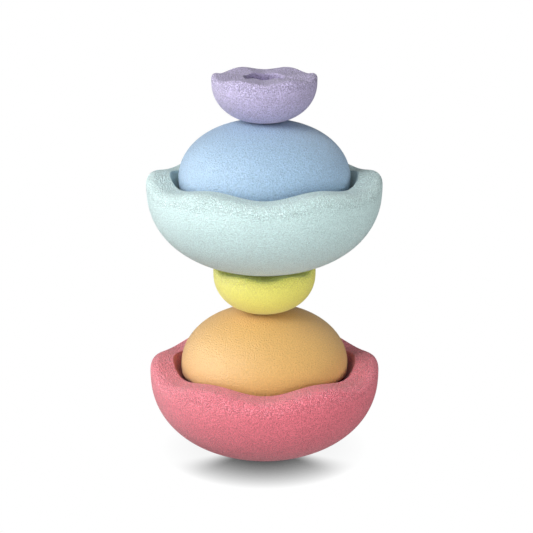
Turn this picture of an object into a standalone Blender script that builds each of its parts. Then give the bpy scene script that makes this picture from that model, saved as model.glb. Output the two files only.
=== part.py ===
"""Tower of six loose foam mouldings: bowls, domes and cups in three sizes, stacked on one axis.

Lengths are in metres, +Z is up, and the origin is the centre of the bottom bowl's flat foot.
"""

import math

import bmesh
import bpy
import numpy as np

# Driving dimensions of one moulding in each size, as it stands on its foot.
# radius, level: widest radius, and its height above the foot
# belly, upright, across: half height of the curve that rounds the outside, and its powers
#     up the height and across the radius; where belly equals level the crown has no flat
# rim, round: mean height of the rim, and radius of the rounding on its outer corner
# mouth, dish: radius of the hollow's edge, and how far that edge lies below the rim
# hollow, wall, floor: depth of the hollow, and powers of the curve near its edge and on its floor
# facets: facets down the hollow, and down the outside
LARGE = dict(radius=0.1375, level=0.0996, belly=0.1006, upright=2.23, across=2.23,
             rim=0.1106, round=0.0112,
             mouth=0.1088, dish=0.0, hollow=0.058, wall=1.2, floor=2.2, facets=8)
MEDIUM = dict(radius=0.1001, level=0.0660, belly=0.0660, upright=1.96, across=2.26,
              rim=0.0825, round=0.0085,
              mouth=0.0700, dish=0.0, hollow=0.055, wall=1.8, floor=2.0, facets=8)
SMALL = dict(radius=0.0607, level=0.0465, belly=0.0484, upright=2.2, across=2.2,
             rim=0.0528, round=0.0048,
             mouth=0.0238, dish=0.0012, hollow=0.020, wall=2.4, floor=2.4, facets=6)

WAVES = 6             # crests round every rim, the first one at +X
WAVE = 0.033          # height of a crest, as a share of the distance from the axis
WAVE_FADE = 0.30      # share of the rim's height over which the wave fades down the outside
HOLLOW_FADE = 0.14    # the same, down the inside of the hollow
EDGE = 0.0015         # rounding of the hollow's edge
GAP = 0.0003          # left between a piece and the one it stands on
STEPS = 48            # facets round the axis
CORNER_FACETS = 4     # facets on the rim's outer corner
EDGE_FACETS = 2       # facets on the hollow's edge
SAMPLES = 2000        # places at which two outlines are compared
STEEPEST = 2.0        # limit on how far a sloping contact opens the gap
MERGE = 0.00001       # distance under which turned points are one
SHARP = 50            # angle in degrees over which an edge is shaded sharp

# Name, size, upside down or not, and colour, from the floor up.
TOWER = [
    ("pink_bowl", LARGE, False, (0.640, 0.190, 0.235)),
    ("orange_dome", MEDIUM, True, (0.800, 0.510, 0.200)),
    ("yellow_cup", SMALL, False, (0.770, 0.730, 0.185)),
    ("mint_bowl", LARGE, False, (0.600, 0.730, 0.740)),
    ("blue_dome", MEDIUM, True, (0.405, 0.560, 0.745)),
    ("lavender_cup", SMALL, False, (0.480, 0.440, 0.640)),
]


def outside_radius(size, height):
    """Radius of the outside at a height: a superellipse about the widest level."""
    share = min(abs(height - size["level"]) / size["belly"], 1.0)
    return size["radius"] * (1 - share ** size["upright"]) ** (1 / size["across"])


def hollow_points(size, count):
    """The hollow from its floor's centre up to the start of its rounded edge."""
    top = size["rim"] - size["dish"] - EDGE
    depth = size["hollow"] - EDGE
    points = []
    for i in range(count + 1):
        turn = math.pi / 2 * (1 - i / count)
        radius = size["mouth"] * math.cos(turn) ** (2 / size["floor"]) if i else 0.0
        points.append((radius, top - depth * math.sin(turn) ** (2 / size["wall"])))
    return points


def corner_points(size):
    """The hollow's rounded edge, then the rim's rounded outer corner."""
    edge_top = size["rim"] - size["dish"]
    points = []
    for i in range(1, EDGE_FACETS + 1):
        turn = math.pi / 2 * i / EDGE_FACETS
        points.append((size["mouth"] + EDGE * (1 - math.cos(turn)), edge_top - EDGE * (1 - math.sin(turn))))
    for i in range(CORNER_FACETS, -1, -1):
        turn = math.pi / 2 * i / CORNER_FACETS
        height = size["rim"] - size["round"] * (1 - math.sin(turn))
        points.append((outside_radius(size, height) - size["round"] * (1 - math.cos(turn)), height))
    return points


def side_points(size, count):
    """The outside below the rim's corner, down to the flat foot or the crown, and its centre."""
    last = math.asin((size["level"] / size["belly"]) ** (size["upright"] / 2))
    points = []
    for i in range(count + 1):
        turn = last * i / count
        height = size["level"] - size["belly"] * math.sin(turn) ** (2 / size["upright"])
        if height < size["rim"] - size["round"]:
            points.append((outside_radius(size, height), height))
    if size["belly"] > size["level"]:
        points.append((0.0, 0.0))
    return points


def outline(size):
    """Half section from the hollow's floor over the rim and down the outside to the foot."""
    return hollow_points(size, size["facets"]) + corner_points(size) + side_points(size, size["facets"])


def wave_share(size, radius, height):
    """1 on the rim, falling smoothly to 0 down the outside and into the hollow."""
    outer = radius > (size["mouth"] + size["radius"] - size["round"]) / 2
    fade = WAVE_FADE if outer else HOLLOW_FADE
    rim = size["rim"] if outer else size["rim"] - size["dish"]
    share = 1 - (rim - height) / (fade * size["rim"])
    share = min(max(share, 0.0), 1.0)
    return share * share * (3 - 2 * share)


def crest_outline(size):
    """The half section through a crest of the rim, as arrays of radius and height."""
    points = outline(size)
    radius = np.array([point[0] for point in points])
    height = np.array([point[1] + WAVE * point[0] * wave_share(size, *point) for point in points])
    return radius, height


def faces_met(size, inverted):
    """What a piece shows to the one above it and to the one below it, by rising radius."""
    radius, height = crest_outline(size)
    widest = int(np.argmax(radius))
    hollow_side = radius[:widest + 1], height[:widest + 1]
    foot_side = radius[widest:][::-1], height[widest:][::-1]
    if inverted:
        return (foot_side[0], -foot_side[1]), (hollow_side[0], -hollow_side[1])
    return hollow_side, foot_side


def rest_height(below, above):
    """How far the origin of the piece above stands over that of the piece it rests on."""
    radii = np.linspace(0.0, min(below[0][-1], above[0][-1]), SAMPLES)
    top = np.interp(radii, *below)
    sole = np.interp(radii, *above)
    opening = np.minimum(np.hypot(1.0, np.gradient(top, radii)), STEEPEST)
    return float(np.max(top - sole + GAP * opening))


def turned_mesh(name, size):
    """Turn the half section about Z with a Screw modifier, then lift the rim into its wave."""
    points = outline(size)
    mesh = bpy.data.meshes.new(name + "_section")
    edges = [(i, i + 1) for i in range(len(points) - 1)]
    mesh.from_pydata([(radius, 0.0, height) for radius, height in points], edges, [])
    section = bpy.data.objects.new(name + "_section", mesh)
    bpy.context.scene.collection.objects.link(section)
    screw = section.modifiers.new("turn", "SCREW")
    screw.steps = STEPS
    screw.render_steps = STEPS
    screw.use_merge_vertices = True
    screw.merge_threshold = MERGE
    evaluated = section.evaluated_get(bpy.context.evaluated_depsgraph_get())
    turned = bpy.data.meshes.new_from_object(evaluated)
    turned.name = name
    bpy.data.objects.remove(section)
    bpy.data.meshes.remove(mesh)
    shaped = bmesh.new()
    shaped.from_mesh(turned)
    for vertex in shaped.verts:
        radius = math.hypot(vertex.co.x, vertex.co.y)
        crest = math.cos(WAVES * math.atan2(vertex.co.y, vertex.co.x))
        vertex.co.z += WAVE * radius * crest * wave_share(size, radius, vertex.co.z)
    shaped.to_mesh(turned)
    shaped.free()
    turned.shade_smooth()
    turned.set_sharp_from_angle(angle=math.radians(SHARP))
    return turned


def foam(name, colour):
    """Matt closed-cell foam in one colour."""
    material = bpy.data.materials.new(name + "_foam")
    material.use_nodes = True
    shader = material.node_tree.nodes["Principled BSDF"]
    shader.inputs["Base Color"].default_value = (*colour, 1.0)
    shader.inputs["Roughness"].default_value = 0.85
    shader.inputs["Metallic"].default_value = 0.0
    return material


def build_tower():
    """Stack the pieces, each on an empty that stands on the axis at the height of its seat."""
    parts = bpy.data.collections.new("foam_stacking_tower")
    bpy.context.scene.collection.children.link(parts)
    seat = None
    met = None
    for name, size, inverted, colour in TOWER:
        shown, sole = faces_met(size, inverted)
        empty = bpy.data.objects.new(name + "_seat", None)
        parts.objects.link(empty)
        if seat:
            empty.parent = seat
            empty.location.z = rest_height(met, sole)
        piece = bpy.data.objects.new(name, turned_mesh(name, size))
        piece.data.materials.append(foam(name, colour))
        parts.objects.link(piece)
        piece.parent = empty
        piece.rotation_euler.x = math.pi if inverted else 0.0
        seat = empty
        met = shown


for old in list(bpy.data.objects):
    bpy.data.objects.remove(old)
build_tower()
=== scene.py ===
import math

import bmesh
import bpy
import numpy as np
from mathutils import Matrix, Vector


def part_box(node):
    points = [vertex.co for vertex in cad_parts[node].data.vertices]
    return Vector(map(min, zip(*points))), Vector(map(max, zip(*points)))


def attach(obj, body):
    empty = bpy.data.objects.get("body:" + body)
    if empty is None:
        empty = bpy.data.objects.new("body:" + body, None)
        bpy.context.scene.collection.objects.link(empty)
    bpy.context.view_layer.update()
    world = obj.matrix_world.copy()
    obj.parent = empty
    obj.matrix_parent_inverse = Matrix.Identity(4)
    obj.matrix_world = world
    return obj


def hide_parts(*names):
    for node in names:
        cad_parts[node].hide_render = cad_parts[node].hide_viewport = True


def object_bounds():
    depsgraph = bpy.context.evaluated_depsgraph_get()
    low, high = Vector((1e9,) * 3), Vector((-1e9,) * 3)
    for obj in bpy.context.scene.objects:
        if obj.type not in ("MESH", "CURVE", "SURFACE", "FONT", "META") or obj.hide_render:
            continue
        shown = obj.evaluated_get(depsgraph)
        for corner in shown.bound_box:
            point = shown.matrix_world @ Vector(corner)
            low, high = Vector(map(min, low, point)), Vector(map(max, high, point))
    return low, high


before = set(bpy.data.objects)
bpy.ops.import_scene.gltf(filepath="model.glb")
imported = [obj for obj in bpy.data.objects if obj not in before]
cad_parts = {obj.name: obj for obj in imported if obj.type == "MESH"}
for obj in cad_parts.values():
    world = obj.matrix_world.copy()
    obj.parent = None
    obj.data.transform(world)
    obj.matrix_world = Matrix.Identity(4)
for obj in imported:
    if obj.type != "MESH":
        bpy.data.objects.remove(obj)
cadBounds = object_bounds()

# A tower of six foam mouldings. Each one is the same kind of surface: a half section carried
# round the axis, with its rim lifted into an even wave. Lengths are in metres.

waveCount = 6          # crests round every rim, the first at +X
waveHeight = 0.033     # crest height as a share of the distance from the axis
curveSteps = 400       # places at which each curve of a half section is first worked out
brimSteps = 100        # the same, from the rim down to the widest level
footSteps = 60         # the same, across the flat foot
hair = 1e-7            # a length too small to count
lipShare = 0.3         # share of the hollow's rounded edge that belongs to its inside
bandEase = 1.6         # how early the rim's grain and its painted lighter band come to full strength


def superArc(turn, power):
    # sine and cosine of a turn, raised so that |c|^power + |s|^power = 1
    return np.sin(turn) ** (2 / power), np.cos(turn) ** (2 / power)


def smoothStep(x):
    # 3x^2 - 2x^3 between 0 and 1, flat outside
    x = np.clip(x, 0.0, 1.0)
    return x * x * (3 - 2 * x)


def outsideRadius(shape, height):
    # superellipse about the widest level: r = R (1 - |(z - z0) / b|^n)^(1/m)
    share = np.minimum(np.abs(height - shape["level"]) / shape["belly"], 1.0)
    return shape["radius"] * (1 - share ** shape["upright"]) ** (1 / shape["across"])


def halfSection(shape, rows):
    # the hollow from its floor, its rounded edge, the rim, the rounded corner, the outside, the foot
    fine = np.linspace(0.0, 1.0, curveSteps)
    quarter = fine * math.pi / 2
    edgeTop = shape["rim"] - shape["dish"]
    edgeRound = shape["edge"]
    rise, _ = superArc(quarter[::-1], shape["wall"])
    _, reach = superArc(quarter[::-1], shape["floor"])
    hollowR = shape["mouth"] * reach
    hollowZ = edgeTop - edgeRound - (shape["hollow"] - edgeRound) * rise
    edgeR = shape["mouth"] + edgeRound * (1 - np.cos(quarter))
    edgeZ = edgeTop - edgeRound * (1 - np.sin(quarter))
    cornerZ = shape["rim"] - shape["round"] * (1 - np.cos(quarter))
    cornerR = outsideRadius(shape, cornerZ) - shape["round"] * (1 - np.sin(quarter))
    last = math.asin((shape["level"] / shape["belly"]) ** (shape["upright"] / 2))
    drop, _ = superArc(fine * last, shape["upright"])
    brimZ = np.linspace(shape["rim"], shape["level"], brimSteps)
    sideZ = np.concatenate([brimZ, shape["level"] - shape["belly"] * drop])
    sideZ = sideZ[sideZ < cornerZ[-1]]
    sideR = outsideRadius(shape, sideZ)
    footR = np.linspace(sideR[-1], 0.0, footSteps)[1:]
    r = np.concatenate([hollowR, edgeR[1:], cornerR, sideR, footR])
    z = np.concatenate([hollowZ, edgeZ[1:], cornerZ, sideZ, footR * 0])
    return evenRows(r, z, rows)


def evenRows(r, z, rows):
    # rows shared out by length run plus angle turned, so that tight curves get more of them
    step = np.hypot(np.diff(r), np.diff(z))
    keep = np.concatenate([[True], step > hair])
    r, z = r[keep], z[keep]
    step = np.hypot(np.diff(r), np.diff(z))
    heading = np.unwrap(np.arctan2(np.diff(z), np.diff(r)))
    bend = np.concatenate([[0.0], np.abs(np.diff(heading))])
    measure = np.cumsum(step) / step.sum() + np.cumsum(bend) / bend.sum()
    measure = np.concatenate([[0.0], measure])
    at = np.linspace(0.0, measure[-1], rows)
    return np.interp(at, measure, r), np.interp(at, measure, z)


def waveShare(shape, r, z):
    # 1 on the rim, easing to 0 down the outside and, sooner, down the hollow
    outer = r > (shape["mouth"] + shape["radius"] - shape["round"]) / 2
    fade = np.where(outer, shape["waveFade"], shape["hollowFade"]) * shape["rim"]
    top = np.where(outer, shape["rim"], shape["rim"] - shape["dish"])
    return smoothStep(1 - (top - z) / fade)


def foamSurface(name, shape, grid):
    # point(row, turn) = (r cos turn, r sin turn, z + wave r cos(6 turn) share), poles as one point
    rows, columns = grid
    r, z = halfSection(shape, rows)
    r, z = r[1:-1], z[1:-1]
    turn = np.arange(columns) * 2 * math.pi / columns
    share = waveShare(shape, r, z)
    x = r[:, None] * np.cos(turn)
    y = r[:, None] * np.sin(turn)
    lift = z[:, None] + waveHeight * r[:, None] * np.cos(waveCount * turn) * share[:, None]
    ring = np.stack([x, y, lift], axis=-1).reshape(-1, 3)
    floorZ = shape["rim"] - shape["dish"] - shape["hollow"]
    points = np.concatenate([ring, [[0.0, 0.0, floorZ], [0.0, 0.0, 0.0]]])
    inner = rows - 2
    index = np.arange(inner * columns).reshape(inner, columns)
    after = np.roll(index, -1, axis=1)
    quads = np.stack([index[:-1], index[1:], after[1:], after[:-1]], axis=-1).reshape(-1, 4)
    floorPole = inner * columns
    footPole = floorPole + 1
    top = np.stack([np.full(columns, floorPole), index[0], after[0]], axis=-1)
    foot = np.stack([np.full(columns, footPole), after[-1], index[-1]], axis=-1)
    mesh = bpy.data.meshes.new(name)
    mesh.from_pydata(points.tolist(), [], quads.tolist() + top.tolist() + foot.tolist())
    storeShare(mesh, "rimGrainAndPaintedLight", rimGrainAndPaintedLight(shape, r, z), columns, 0.0)
    # painted shade down the hollow, darker away from its mouth
    storeShare(mesh, "hollowPaintedShade", hollowPaintedShade(shape, r, z), columns, 1.0)
    return mesh


def storeShare(mesh, name, share, columns, atFloor):
    # one value per row, repeated round the axis, then the floor's pole and the foot's pole
    values = np.concatenate([np.repeat(share, columns), [atFloor, 0.0]])
    attribute = mesh.attributes.new(name, "FLOAT", "POINT")
    attribute.data.foreach_set("value", values.astype(np.float32))


def rimGrainAndPaintedLight(shape, r, z):
    # share of the stipple and of the painted lighter band: full on the rim's top, easing out over a
    # band down the outside, none in the hollow
    outer = r > shape["mouth"] + shape["edge"] * lipShare
    band = 1 - (shape["rim"] - z) / shape["grainAndPaintedLightBand"]
    return np.where(outer, smoothStep(band * bandEase), 0.0)


def hollowPaintedShade(shape, r, z):
    # share of the painted shade: 0 at the mouth and outside, easing to 1 a little way down the
    # hollow
    edgeTop = shape["rim"] - shape["dish"]
    inner = r < shape["mouth"] + shape["edge"] * lipShare
    inner = inner & (z > edgeTop - shape["hollow"] - hair)
    return np.where(inner, smoothStep((edgeTop - z) / shape["paintedShadeDepth"]), 0.0)


def placeMesh(mesh, flipped, footZ):
    # turn the mesh over about X if its foot is up, then lift it so that its foot is at a height
    co = np.empty(len(mesh.vertices) * 3, np.float32)
    mesh.vertices.foreach_get("co", co)
    co = co.reshape(-1, 3).astype(float)
    if flipped:
        co = co * np.array([1.0, -1.0, -1.0])
    co[:, 2] += footZ
    mesh.vertices.foreach_set("co", co.ravel().astype(np.float32))
    mesh.update()


def mathsNode(tree, kind, a, b):
    # one step of arithmetic in a shader, on numbers or on other nodes' outputs
    node = tree.nodes.new("ShaderNodeMath")
    node.operation = kind
    for socket, value in zip(node.inputs, (a, b)):
        if isinstance(value, (int, float)):
            socket.default_value = value
        else:
            tree.links.new(value, socket)
    return node.outputs[0]


# the grain, shine and painted shading shared by all pieces: the rim band painted lighter and the
# hollow painted darker; a piece's own dictionary changes some of it
foamGrainAndPaintedShading = dict(
    spread=0.22, brightest=0.96,
    roughness=0.55, gloss=0.50, sheen=0.25, sheenRoughness=0.5,
    sandScale=680.0, sandHeight=1.0, sandTone=1.2,
    wormScale=430.0, wormSteep=4.0, wormHeight=0.9, wormTone=0.95, rimPaintedLight=0.24,
    cloudScale=28.0, cloudTone=0.10, hollowPaintedDim=0.32, hollowPaintedDeepen=0.45, bumpDepth=0.0012,
)


def linear(red, green, blue):
    # 8-bit display colour to the linear colour that shaders take
    shown = np.array([red, green, blue]) / 255
    return np.where(shown <= 0.04045, shown / 12.92, ((shown + 0.055) / 1.055) ** 2.4)


def foamMaterial(name, colour, changes):
    # matt moulded foam: fine sand all over, coarser stipple and a painted lighter band where the
    # rim's share is set, and painted shade down the hollow
    look = dict(foamGrainAndPaintedShading, **changes)
    middle = linear(*colour)
    light = (middle * (1 + look["spread"])).clip(0, 0.95).tolist()
    deep = (middle * (1 - look["spread"])).tolist()
    material = bpy.data.materials.new(name)
    material.use_nodes = True
    tree = material.node_tree
    nodes = tree.nodes
    links = tree.links
    shader = nodes["Principled BSDF"]
    shader.inputs["Roughness"].default_value = look["roughness"]
    shader.inputs["Specular IOR Level"].default_value = look["gloss"]
    shader.inputs["Sheen Weight"].default_value = look["sheen"]
    shader.inputs["Sheen Roughness"].default_value = look["sheenRoughness"]
    place = nodes.new("ShaderNodeTexCoord")

    def maths(kind, a, b):
        return mathsNode(tree, kind, a, b)

    def noise(scale, detail):
        # noise about 0, in the piece's own metres
        node = nodes.new("ShaderNodeTexNoise")
        node.inputs["Scale"].default_value = scale
        node.inputs["Detail"].default_value = detail
        links.new(place.outputs["Object"], node.inputs["Vector"])
        return maths("SUBTRACT", node.outputs["Fac"], 0.5)

    def painted(attribute):
        # a share stored on the mesh's points
        node = nodes.new("ShaderNodeAttribute")
        node.attribute_name = attribute
        return node.outputs["Fac"]

    # rim: the share of the stipple and of the painted lighter band
    rim = painted("rimGrainAndPaintedLight")
    # hollow: the share of the painted shade down the hollow
    hollow = painted("hollowPaintedShade")
    sand = noise(look["sandScale"], 0.0)
    worm = noise(look["wormScale"], 0.0)
    cloud = noise(look["cloudScale"], 2.0)

    # the stipple's ridges lie between the places where a smooth noise crosses 0
    ridge = maths("MULTIPLY", maths("ABSOLUTE", worm, 0.0), look["wormSteep"])
    ridge = maths("SUBTRACT", maths("MINIMUM", ridge, 1.0), 0.5)
    ridge = maths("MULTIPLY", ridge, rim)
    sandRise = maths("MULTIPLY", sand, look["sandHeight"])
    wormRise = maths("MULTIPLY", ridge, look["wormHeight"])
    bump = nodes.new("ShaderNodeBump")
    bump.inputs["Strength"].default_value = 1.0
    bump.inputs["Distance"].default_value = look["bumpDepth"]
    links.new(maths("ADD", sandRise, wormRise), bump.inputs["Height"])
    links.new(bump.outputs["Normal"], shader.inputs["Normal"])

    # colour: pits of the grain are deeper in tone, with a faint cloudiness; the rim band is painted
    # lighter, standing in for the light its top catches
    sandShade = maths("MULTIPLY", sand, -look["sandTone"])
    wormShade = maths("MULTIPLY", ridge, -look["wormTone"])
    tone = maths("ADD", sandShade, wormShade)
    tone = maths("ADD", tone, maths("MULTIPLY", cloud, look["cloudTone"]))
    tone = maths("ADD", tone, maths("MULTIPLY", rim, -look["rimPaintedLight"]))
    mix = nodes.new("ShaderNodeMix")
    mix.data_type = "RGBA"
    mix.clamp_factor = False
    mix.inputs["A"].default_value = (*light, 1.0)
    mix.inputs["B"].default_value = (*deep, 1.0)
    links.new(maths("ADD", tone, 0.5), mix.inputs["Factor"])

    # painted shade: the hollow is deeper in colour and darker away from its mouth, standing in for
    # the shadow inside it
    paintedShadeGamma = nodes.new("ShaderNodeGamma")
    shaded = nodes.new("ShaderNodeVectorMath")
    shaded.operation = "SCALE"
    paintedShadeDeepening = maths("ADD", maths("MULTIPLY", hollow, look["hollowPaintedDeepen"]), 1.0)
    paintedShadeDimming = maths("SUBTRACT", 1.0, maths("MULTIPLY", hollow, look["hollowPaintedDim"]))
    links.new(mix.outputs["Result"], paintedShadeGamma.inputs["Color"])
    links.new(paintedShadeDeepening, paintedShadeGamma.inputs["Gamma"])
    links.new(paintedShadeGamma.outputs["Color"], shaded.inputs[0])
    links.new(paintedShadeDimming, shaded.inputs["Scale"])
    capped = nodes.new("ShaderNodeVectorMath")
    capped.operation = "MINIMUM"
    capped.inputs[1].default_value = (look["brightest"],) * 3
    links.new(shaded.outputs["Vector"], capped.inputs[0])
    links.new(capped.outputs["Vector"], shader.inputs["Base Color"])
    return material


def foamPiece(piece):
    # size the shape from its node's own box, build it, and put it in the node's place
    low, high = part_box(piece["node"])
    shape = dict(piece["shape"])
    scale = (high.x - low.x) / 2 / shape["radius"]
    for key in ("radius", "level", "belly", "rim", "round", "mouth", "edge", "dish", "hollow",
                "grainAndPaintedLightBand", "paintedShadeDepth"):
        shape[key] *= scale
    mesh = foamSurface(piece["name"], shape, piece["grid"])
    placeMesh(mesh, piece["flipped"], high.z if piece["flipped"] else low.z)
    mesh.shade_smooth()
    mesh.materials.append(foamMaterial(piece["name"] + "Foam", piece["colour"], piece["grain"]))
    moulding = bpy.data.objects.new(piece["name"], mesh)
    bpy.context.scene.collection.objects.link(moulding)
    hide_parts(piece["node"])
    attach(moulding, piece["node"])
    print("made", piece["name"], len(mesh.vertices), "points")


# one moulding in each size, standing on its foot: the outside, the rim, the hollow, then how
# the wave fades, how far down the rim's grain and its painted lighter band run and how soon the
# hollow's painted shade is full
largeShape = dict(
    radius=0.1375, level=0.0996, belly=0.1006, upright=2.23, across=2.23,
    rim=0.1106, round=0.0112,
    mouth=0.1088, edge=0.0016, dish=0.0, hollow=0.058, wall=1.2, floor=2.2,
    waveFade=0.30, hollowFade=0.14, grainAndPaintedLightBand=0.025, paintedShadeDepth=0.013,
)
mediumShape = dict(
    radius=0.1001, level=0.0660, belly=0.0660, upright=1.96, across=2.26,
    rim=0.0825, round=0.0085,
    mouth=0.0700, edge=0.0016, dish=0.0, hollow=0.055, wall=1.8, floor=2.0,
    waveFade=0.30, hollowFade=0.14, grainAndPaintedLightBand=0.014, paintedShadeDepth=0.018,
)
smallShape = dict(
    radius=0.0607, level=0.0465, belly=0.0484, upright=2.2, across=2.2,
    rim=0.0528, round=0.0048,
    mouth=0.0238, edge=0.0009, dish=0.0012, hollow=0.020, wall=2.4, floor=2.4,
    waveFade=0.30, hollowFade=0.14, grainAndPaintedLightBand=0.016, paintedShadeDepth=0.008,
)

pinkBowl = dict(
    name="pinkBowl", node="pink_bowl", slot="pink_foam",
    shape=largeShape, grid=(150, 360), flipped=False,
    # this bowl's rim band is painted lighter than the others'
    colour=(222, 111, 125), grain=dict(spread=0.26, sandTone=1.9, wormTone=1.3, rimPaintedLight=0.45),
)
foamPiece(pinkBowl)

orangeDome = dict(
    name="orangeDome", node="orange_dome", slot="orange_foam",
    shape=mediumShape, grid=(130, 312), flipped=True,
    colour=(214, 168, 98), grain=dict(spread=0.18, sandTone=0.9, bumpDepth=0.0008),
)
foamPiece(orangeDome)

yellowCup = dict(
    name="yellowCup", node="yellow_cup", slot="yellow_foam",
    shape=smallShape, grid=(110, 264), flipped=False,
    colour=(237, 230, 112), grain=dict(spread=0.16, sandTone=0.9, bumpDepth=0.0008),
)
foamPiece(yellowCup)

mintBowl = dict(
    name="mintBowl", node="mint_bowl", slot="mint_foam",
    shape=largeShape, grid=(150, 360), flipped=False,
    colour=(199, 225, 224), grain={},
)
foamPiece(mintBowl)

blueDome = dict(
    name="blueDome", node="blue_dome", slot="blue_foam",
    shape=mediumShape, grid=(130, 312), flipped=True,
    colour=(154, 184, 211), grain=dict(sandTone=1.5),
)
foamPiece(blueDome)

lavenderCup = dict(
    name="lavenderCup", node="lavender_cup", slot="lavender_foam",
    shape=smallShape, grid=(110, 264), flipped=False,
    colour=(178, 168, 202), grain=dict(spread=0.28, sandTone=2.0),
)
foamPiece(lavenderCup)


def glowMaterial(name, strength):
    # a surface that only glows: its material, and the node that glows
    material = bpy.data.materials.new(name)
    material.use_nodes = True
    nodes = material.node_tree.nodes
    nodes.remove(nodes["Principled BSDF"])
    glow = nodes.new("ShaderNodeEmission")
    glow.inputs["Strength"].default_value = strength
    output = nodes["Material Output"].inputs["Surface"]
    material.node_tree.links.new(glow.outputs["Emission"], output)
    return material, glow


def stageOnly(piece):
    # the camera sees it, and it neither lights nor shades the foam
    bpy.context.scene.collection.objects.link(piece)
    piece.visible_diffuse = False
    piece.visible_glossy = False
    piece.visible_shadow = False


# a pale glowing table with a painted shadow. contact and softness shape the painted shadow close
# under a piece. It is painted
# falling forward: its share grows from leastShadow at the sideward angle to full at the forward one
floorLook = dict(
    size=12.0, below=0.0003, glow=1.0, contact=0.036, softness=0.80, samples=16,
    sideward=-0.38, forward=-0.78, leastShadow=0.12,
)


def makeFloor(look):
    half = look["size"] / 2
    mesh = bpy.data.meshes.new("studioFloor")
    corners = [(-half, -half, 0.0), (half, -half, 0.0), (half, half, 0.0), (-half, half, 0.0)]
    mesh.from_pydata(corners, [], [(0, 1, 2, 3)])
    floor = bpy.data.objects.new("studioFloor", mesh)
    floor.location.z = -look["below"]
    material, glow = glowMaterial("paleFloorPaintedShadow", look["glow"])
    nodes = material.node_tree.nodes
    links = material.node_tree.links
    # painted shadow: the floor's glow is darkened where foam is close above it
    paintedFloorShadow = nodes.new("ShaderNodeAmbientOcclusion")
    paintedFloorShadow.samples = look["samples"]
    paintedFloorShadow.inputs["Distance"].default_value = look["contact"]
    floorShadowDeepen = nodes.new("ShaderNodeGamma")
    floorShadowDeepen.inputs["Gamma"].default_value = look["softness"]
    # y / r is -1 straight in front of the tower's axis and 1 straight behind it
    place = nodes.new("ShaderNodeTexCoord")
    heading = nodes.new("ShaderNodeVectorMath")
    heading.operation = "NORMALIZE"
    split = nodes.new("ShaderNodeSeparateXYZ")
    share = nodes.new("ShaderNodeMapRange")
    share.interpolation_type = "SMOOTHSTEP"
    share.inputs["From Min"].default_value = look["sideward"]
    share.inputs["From Max"].default_value = look["forward"]
    share.inputs["To Min"].default_value = look["leastShadow"]
    mix = nodes.new("ShaderNodeMix")
    mix.data_type = "RGBA"
    mix.inputs["A"].default_value = (1.0, 1.0, 1.0, 1.0)
    links.new(paintedFloorShadow.outputs["Color"], floorShadowDeepen.inputs["Color"])
    links.new(place.outputs["Object"], heading.inputs[0])
    links.new(heading.outputs["Vector"], split.inputs["Vector"])
    links.new(split.outputs["Y"], share.inputs["Value"])
    links.new(share.outputs["Result"], mix.inputs["Factor"])
    links.new(floorShadowDeepen.outputs["Color"], mix.inputs["B"])
    links.new(mix.outputs["Result"], glow.inputs["Color"])
    mesh.materials.append(material)
    stageOnly(floor)


makeFloor(floorLook)

# a pale sphere round the whole set
backdropLook = dict(radius=24.0, glow=1.0, segments=32, rings=16)


def makeBackdrop(look):
    mesh = bpy.data.meshes.new("studioBackdrop")
    shell = bmesh.new()
    bmesh.ops.create_uvsphere(shell, u_segments=look["segments"], v_segments=look["rings"],
                              radius=look["radius"])
    shell.to_mesh(mesh)
    shell.free()
    material, _ = glowMaterial("paleBackdrop", look["glow"])
    mesh.materials.append(material)
    stageOnly(bpy.data.objects.new("studioBackdrop", mesh))


makeBackdrop(backdropLook)

# shine "only" gives a lamp's gleam without its light, and "none" its light without its gleam
lamps = [
    dict(name="keyLight", place=(-1.32, -1.38, 1.68), size=1.0, power=39.0),
    dict(name="sideLight", place=(-2.01, 1.16, 0.85), size=1.6, power=15.0),
    dict(name="edgeLight", place=(-2.30, -0.40, 0.90), size=1.6, power=104.0, shine="only"),
    dict(name="lowLight", place=(-1.40, -1.05, 0.22), size=0.9, power=4.4),
    dict(name="fillLight", place=(1.30, -0.85, 0.24), size=0.9, power=9.8, shine="none"),
]


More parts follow.
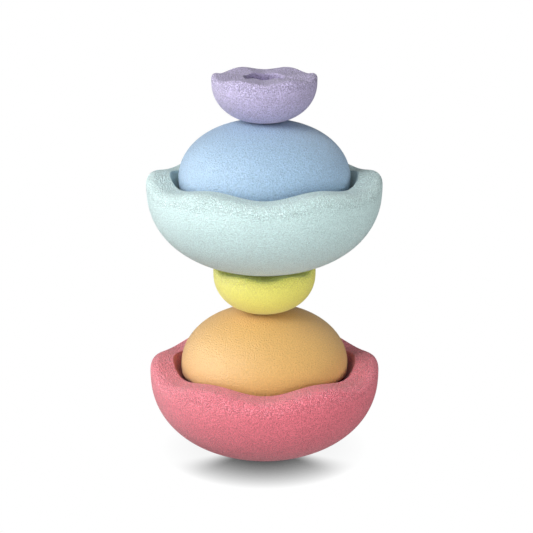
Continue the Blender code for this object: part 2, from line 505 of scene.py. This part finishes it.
def makeLamp(lamp, aim):
    # an area lamp turned to face a point
    data = bpy.data.lights.new(lamp["name"], "AREA")
    data.energy = lamp["power"]
    data.size = lamp["size"]
    light = bpy.data.objects.new(lamp["name"], data)
    light.visible_diffuse = lamp.get("shine") != "only"
    light.visible_glossy = lamp.get("shine") != "none"
    light.location = lamp["place"]
    facing = Vector(aim) - Vector(lamp["place"])
    light.rotation_euler = facing.to_track_quat("-Z", "Y").to_euler()
    bpy.context.scene.collection.objects.link(light)


low, high = cadBounds
for lamp in lamps:
    makeLamp(lamp, (0.0, 0.0, (low[2] + high[2]) / 2))

# soft light from all round, and more from each of these sides, by its weight
airLook = dict(
    everywhere=0.04,
    sides=[
        ((0.0, -1.0, 0.0), 0.50),
        ((-0.8, -0.4, -0.45), 0.40),
        ((1.0, 0.0, 0.0), 0.09),
        ((0.0, 0.3, 1.0), 0.26),
    ],
)


def makeAir(look):
    # strength = everywhere + the sum over sides of weight * max(0, direction . side)
    world = bpy.data.worlds.new("studioAir")
    world.use_nodes = True
    tree = world.node_tree
    place = tree.nodes.new("ShaderNodeTexCoord")
    total = look["everywhere"]
    for side, weight in look["sides"]:
        facing = tree.nodes.new("ShaderNodeVectorMath")
        facing.operation = "DOT_PRODUCT"
        facing.inputs[1].default_value = side
        tree.links.new(place.outputs["Generated"], facing.inputs[0])
        toward = mathsNode(tree, "MAXIMUM", facing.outputs["Value"], 0.0)
        total = mathsNode(tree, "ADD", mathsNode(tree, "MULTIPLY", toward, weight), total)
    air = tree.nodes["Background"]
    air.inputs["Color"].default_value = (1.0, 1.0, 1.0, 1.0)
    tree.links.new(total, air.inputs["Strength"])
    world.cycles_visibility.glossy = False   # only the lamps give the foam its soft shine
    bpy.context.scene.world = world


makeAir(airLook)

viewFrom = dict(
    aside=0.00245, distance=1.6816, height=0.7213, tilt=16.33, lens=99.86, sensor=36.0, farEnd=50.0,
)


def makeCamera(view):
    # in front of the tower and above it, tilted down by an angle in degrees
    data = bpy.data.cameras.new("studioCamera")
    data.lens = view["lens"]
    data.sensor_width = view["sensor"]
    data.clip_end = view["farEnd"]
    camera = bpy.data.objects.new("studioCamera", data)
    camera.location = (view["aside"], -view["distance"], view["height"])
    camera.rotation_euler = (math.radians(90 - view["tilt"]), 0.0, 0.0)
    bpy.context.scene.collection.objects.link(camera)
    bpy.context.scene.camera = camera


makeCamera(viewFrom)
bpy.context.scene.view_settings.view_transform = "Standard"
print("lit the set")
